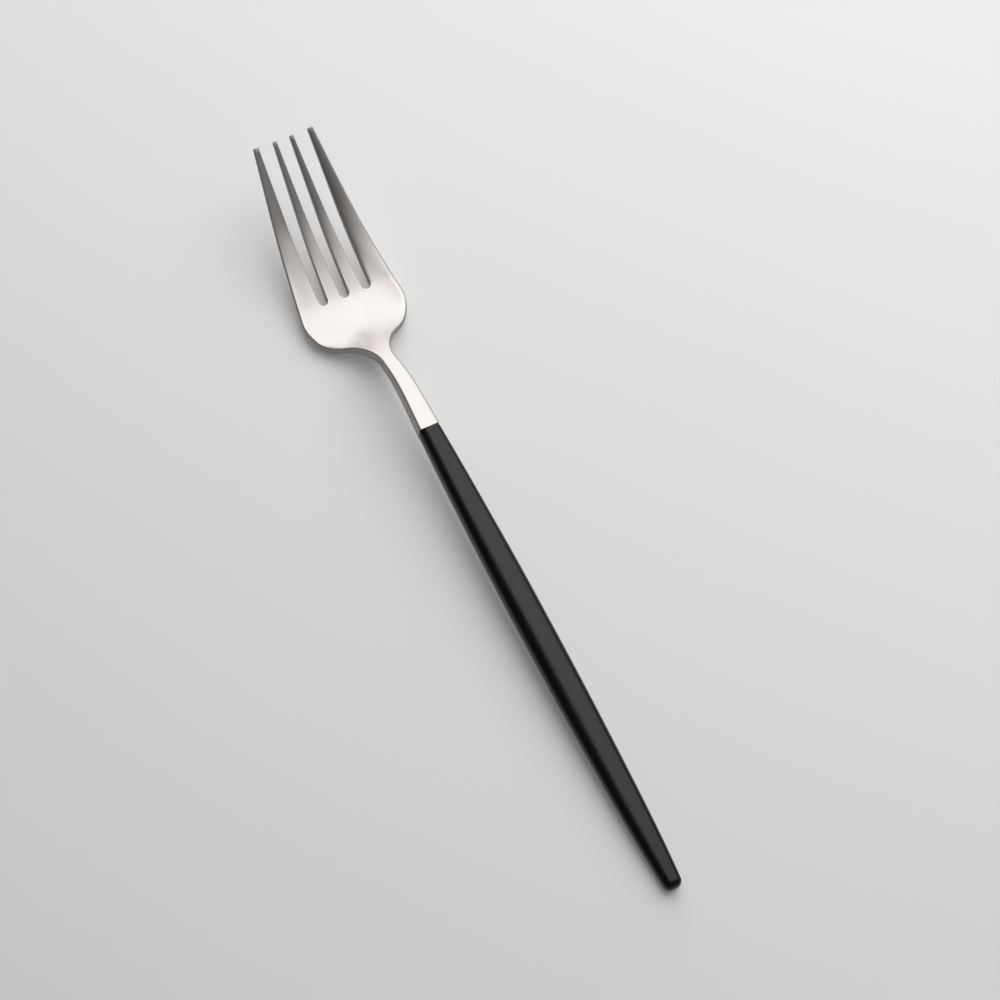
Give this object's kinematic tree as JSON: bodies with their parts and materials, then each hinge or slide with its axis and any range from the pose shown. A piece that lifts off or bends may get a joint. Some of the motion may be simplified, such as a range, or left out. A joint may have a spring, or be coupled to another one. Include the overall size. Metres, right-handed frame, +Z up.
{
  "type": "dinner fork",
  "caption": "Slim dinner fork: a satin steel head with tapered tines, a dished bowl and a narrow neck, bonded into a slender tapered black resin handle.",
  "frame": {"origin": "on the surface the fork lies on, under the middle of its overall box", "axes": "+X runs from the tail of the handle to the tips of the tines, +Z is up out of the bowl's face, and +Y is to the left when looking along +X"},
  "size_m": [0.21, 0.0274, 0.0231],
  "materials": {
    "steel": "satin",
    "resin": "satin",
    "epoxy": "set epoxy"
  },
  "bodies": {
    "root": {"fork_head": "steel", "handle_grip": "resin", "tang_adhesive": "epoxy"}
  },
  "joints": []
}
